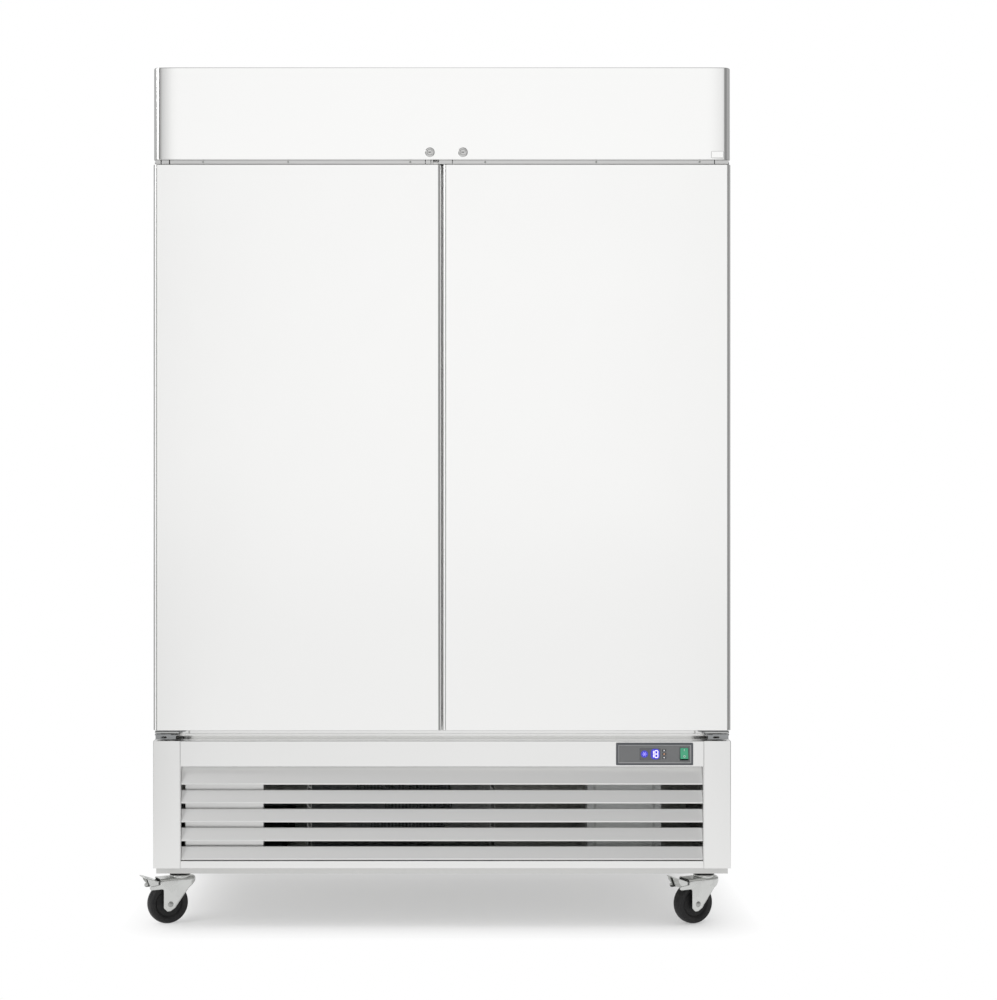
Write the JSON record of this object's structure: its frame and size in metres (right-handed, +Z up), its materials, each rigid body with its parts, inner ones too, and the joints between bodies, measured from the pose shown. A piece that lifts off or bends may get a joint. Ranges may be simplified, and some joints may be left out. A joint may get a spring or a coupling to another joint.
{
  "type": "commercial upright refrigerator",
  "caption": "Tall stainless steel cabinet with two full-height hinged doors, a plain header with key locks, a louvred machine compartment with a small controller, and braked swivel casters.",
  "frame": {"origin": "on the floor under the middle of the cabinet", "axes": "+Z up, front towards -Y, +X to the right of someone facing the doors' outside"},
  "size_m": [1.463, 0.8273, 2.068],
  "materials": {
    "stainless_front": "fine vertical grain, bright",
    "stainless_body": "fine grain, satin",
    "galvanised": "galvanised sheet, satin",
    "zinc_steel": "zinc plated, satin",
    "liner_aluminium": "satin",
    "fin_aluminium": "rolled fins",
    "chrome_lock": "polished",
    "foam": "rigid foam",
    "frame_plastic": "moulded breaker",
    "gasket_grey": "soft moulded",
    "nylon": "moulded",
    "bezel_grey": "moulded, satin",
    "display_black": "smoked window",
    "key_grey": "moulded",
    "rocker_green": "lit green",
    "wire_white": "epoxy coated",
    "fan_black": "moulded",
    "motor_grey": "lacquered",
    "compressor_black": "black enamel",
    "copper": "drawn copper",
    "box_white": "white enamel",
    "tray_plastic": "moulded",
    "wheel_black": "moulded tread"
  },
  "bodies": {
    "cabinet": {"side_panels": "stainless_body", "roof_panel": "galvanised", "back_panel": "galvanised", "underside_panel": "galvanised", "wall_insulation": "foam", "inner_liner": "liner_aluminium", "door_frame": "frame_plastic", "header_panel": "stainless_front", "lock_housings": "chrome_lock", "top_hinge_brackets": "zinc_steel", "bottom_hinge_brackets": "zinc_steel", "lower_posts": "stainless_front", "grille_frame": "stainless_front", "louvre_slats": "stainless_front", "controller_bezel": "bezel_grey", "controller_display": "display_black", "base_tray": "stainless_body", "rear_grille": "galvanised", "shelf_supports": "zinc_steel", "wire_shelves": "wire_white", "evaporator_housing": "liner_aluminium", "evaporator_coil": "fin_aluminium", "evaporator_fan_motors": "motor_grey", "compressor": "compressor_black", "condenser": "fin_aluminium", "condenser_fan_frame": "motor_grey", "unit_base": "galvanised", "drain_tray": "tray_plastic", "refrigerant_lines": "copper", "electrical_box": "box_white", "caster_plates": "zinc_steel"},
    "left_door": {"left_door_skin": "stainless_front", "left_door_core": "foam", "left_door_liner": "stainless_body", "left_door_gasket": "gasket_grey", "left_door_bushes": "nylon"},
    "left_lock": {"left_lock_plug": "chrome_lock"},
    "right_door": {"right_door_skin": "stainless_front", "right_door_core": "foam", "right_door_liner": "stainless_body", "right_door_gasket": "gasket_grey", "right_door_bushes": "nylon"},
    "right_lock": {"right_lock_plug": "chrome_lock"},
    "set_key": {"set_key": "key_grey"},
    "up_key": {"up_key": "key_grey"},
    "down_key": {"down_key": "key_grey"},
    "power_rocker": {"power_rocker": "rocker_green"},
    "condenser_fan": {"condenser_fan": "fan_black"},
    "left_evaporator_fan": {"left_evaporator_fan": "fan_black"},
    "right_evaporator_fan": {"right_evaporator_fan": "fan_black"},
    "front_left_swivel": {"front_left_fork": "zinc_steel"},
    "front_left_wheel": {"front_left_wheel": "wheel_black"},
    "front_left_pedal": {"front_left_pedal": "zinc_steel"},
    "front_right_swivel": {"front_right_fork": "zinc_steel"},
    "front_right_wheel": {"front_right_wheel": "wheel_black"},
    "front_right_pedal": {"front_right_pedal": "zinc_steel"},
    "rear_left_swivel": {"rear_left_fork": "zinc_steel"},
    "rear_left_wheel": {"rear_left_wheel": "wheel_black"},
    "rear_right_swivel": {"rear_right_fork": "zinc_steel"},
    "rear_right_wheel": {"rear_right_wheel": "wheel_black"}
  },
  "joints": [
    {"name": "left_door_hinge", "type": "hinge", "parent": "cabinet", "child": "left_door", "pos_m": [-0.6775, -0.38, 1.16], "axis": [0, 0, -1], "range_deg": [0, 110]},
    {"name": "right_door_hinge", "type": "hinge", "parent": "cabinet", "child": "right_door", "pos_m": [0.6775, -0.38, 1.16], "axis": [0, 0, 1], "range_deg": [0, 110]},
    {"name": "left_lock_turn", "type": "hinge", "parent": "cabinet", "child": "left_lock", "pos_m": [-0.029, -0.4, 1.865], "axis": [0, -1, 0], "range_deg": [0, 90]},
    {"name": "right_lock_turn", "type": "hinge", "parent": "cabinet", "child": "right_lock", "pos_m": [0.05, -0.4, 1.865], "axis": [0, 1, 0], "range_deg": [0, 90]},
    {"name": "set_key_press", "type": "slide", "parent": "cabinet", "child": "set_key", "axis": [0, 1, 0], "range_m": [0, 0.0006], "stiffness_N_per_m": 900, "springref_m": -0.0005},
    {"name": "up_key_press", "type": "slide", "parent": "cabinet", "child": "up_key", "axis": [0, 1, 0], "range_m": [0, 0.0006], "stiffness_N_per_m": 900, "springref_m": -0.0005},
    {"name": "down_key_press", "type": "slide", "parent": "cabinet", "child": "down_key", "axis": [0, 1, 0], "range_m": [0, 0.0006], "stiffness_N_per_m": 900, "springref_m": -0.0005},
    {"name": "power_rocker_tilt", "type": "hinge", "parent": "cabinet", "child": "power_rocker", "pos_m": [0.578, -0.4018, 0.4285], "axis": [1, 0, 0], "range_deg": [0, 18]},
    {"name": "left_evaporator_fan_spin", "type": "hinge", "parent": "cabinet", "child": "left_evaporator_fan", "pos_m": [-0.19, -0.06, 1.9125], "axis": [0, -1, 0], "continuous": true},
    {"name": "right_evaporator_fan_spin", "type": "hinge", "parent": "cabinet", "child": "right_evaporator_fan", "pos_m": [0.19, -0.06, 1.9125], "axis": [0, -1, 0], "continuous": true},
    {"name": "condenser_fan_spin", "type": "hinge", "parent": "cabinet", "child": "condenser_fan", "pos_m": [-0.1, -0.22, 0.29], "axis": [0, -1, 0], "continuous": true},
    {"name": "front_left_swivel_turn", "type": "hinge", "parent": "cabinet", "child": "front_left_swivel", "pos_m": [-0.6425, -0.284, 0.11], "axis": [0, 0, 1], "continuous": true},
    {"name": "front_left_wheel_roll", "type": "hinge", "parent": "front_left_swivel", "child": "front_left_wheel", "pos_m": [-0.67126, -0.29803, 0.05], "axis": [-0.4384, 0.8988, 0], "continuous": true},
    {"name": "front_left_pedal_press", "type": "hinge", "parent": "front_left_swivel", "child": "front_left_pedal", "pos_m": [-0.69103, -0.30767, 0.1025], "axis": [0.4384, -0.8988, 0], "range_deg": [0, 6], "stiffness_Nm_per_rad": 0.8, "springref_deg": -5.73},
    {"name": "front_right_swivel_turn", "type": "hinge", "parent": "cabinet", "child": "front_right_swivel", "pos_m": [0.6425, -0.284, 0.11], "axis": [0, 0, 1], "continuous": true},
    {"name": "front_right_wheel_roll", "type": "hinge", "parent": "front_right_swivel", "child": "front_right_wheel", "pos_m": [0.61374, -0.29803, 0.05], "axis": [-0.4384, 0.8988, 0], "continuous": true},
    {"name": "front_right_pedal_press", "type": "hinge", "parent": "front_right_swivel", "child": "front_right_pedal", "pos_m": [0.59396, -0.30767, 0.1025], "axis": [0.4384, -0.8988, 0], "range_deg": [0, 6], "stiffness_Nm_per_rad": 0.8, "springref_deg": -5.73},
    {"name": "rear_left_swivel_turn", "type": "hinge", "parent": "cabinet", "child": "rear_left_swivel", "pos_m": [-0.6425, 0.349, 0.11], "axis": [0, 0, 1], "continuous": true},
    {"name": "rear_left_wheel_roll", "type": "hinge", "parent": "rear_left_swivel", "child": "rear_left_wheel", "pos_m": [-0.67341, 0.35728, 0.05], "axis": [0.2588, 0.9659, 0], "continuous": true},
    {"name": "rear_right_swivel_turn", "type": "hinge", "parent": "cabinet", "child": "rear_right_swivel", "pos_m": [0.6425, 0.349, 0.11], "axis": [0, 0, 1], "continuous": true},
    {"name": "rear_right_wheel_roll", "type": "hinge", "parent": "rear_right_swivel", "child": "rear_right_wheel", "pos_m": [0.67341, 0.35728, 0.05], "axis": [0.2588, -0.9659, 0], "continuous": true}
  ]
}
